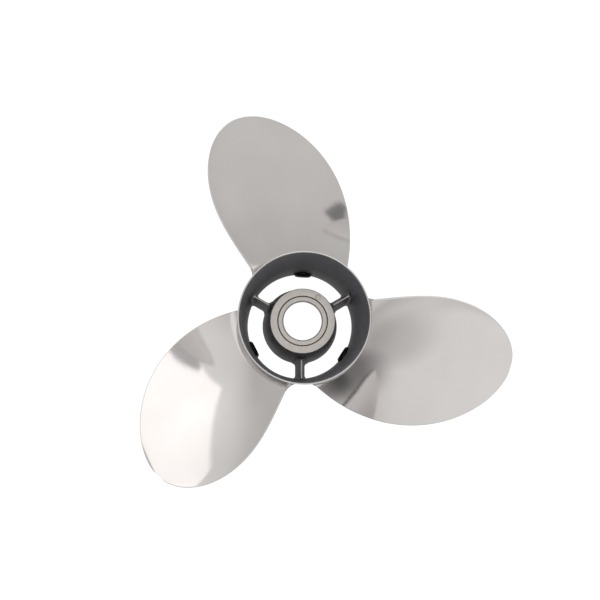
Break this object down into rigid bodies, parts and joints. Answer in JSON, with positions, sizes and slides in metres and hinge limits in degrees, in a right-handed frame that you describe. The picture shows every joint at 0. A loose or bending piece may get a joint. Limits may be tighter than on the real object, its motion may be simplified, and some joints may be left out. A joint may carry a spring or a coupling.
{
  "type": "outboard boat propeller",
  "caption": "Right-hand outboard boat propeller with broad raked blades on a flared exhaust barrel, a ribbed inner hub, a rubber-cushioned drive sleeve and snap-in vent plugs.",
  "frame": {"origin": "on the shaft axis, in the plane of the barrel's front rim, on which the part stands", "axes": "+Z runs aft along the shaft axis, from the gearcase end to the exhaust outlet; +Y passes near the tip of blade_1; +X completes the right-handed frame"},
  "size_m": [0.3068, 0.3066, 0.118],
  "materials": {
    "blade_steel": "satin-polished stainless steel",
    "barrel_steel": "satin-polished outside, dark casting skin inside",
    "weld_steel": "hand-dressed, slightly rough",
    "cast_dark": "dark casting skin, machined aft face",
    "machined_steel": "turned",
    "cushion_rubber": "matte moulded",
    "black_plastic": "matte moulded"
  },
  "bodies": {
    "propeller": {"barrel": "barrel_steel", "blade_1": "blade_steel", "blade_2": "blade_steel", "blade_3": "blade_steel", "blade_weld_1": "weld_steel", "blade_weld_2": "weld_steel", "blade_weld_3": "weld_steel", "rib_1": "cast_dark", "rib_2": "cast_dark", "rib_3": "cast_dark", "inner_hub": "cast_dark", "cushion_bush": "cushion_rubber", "retaining_ring": "machined_steel"},
    "sleeve": {"drive_sleeve": "machined_steel"},
    "plug_1": {"vent_plug_1": "black_plastic"},
    "plug_2": {"vent_plug_2": "black_plastic"},
    "plug_3": {"vent_plug_3": "black_plastic"}
  },
  "joints": [
    {"name": "cushion_twist", "type": "hinge", "parent": "propeller", "child": "sleeve", "pos_m": [0, 0, 0], "axis": [0, 0, 1], "range_deg": [-8, 8], "stiffness_Nm_per_rad": 30},
    {"name": "vent_plug_1_pull", "type": "slide", "parent": "propeller", "child": "plug_1", "axis": [-0.0576, -0.9983, 0], "range_m": [0, 0.008]},
    {"name": "vent_plug_2_pull", "type": "slide", "parent": "propeller", "child": "plug_2", "axis": [0.8934, 0.4493, 0], "range_m": [0, 0.008]},
    {"name": "vent_plug_3_pull", "type": "slide", "parent": "propeller", "child": "plug_3", "axis": [-0.8358, 0.549, 0], "range_m": [0, 0.008]}
  ]
}
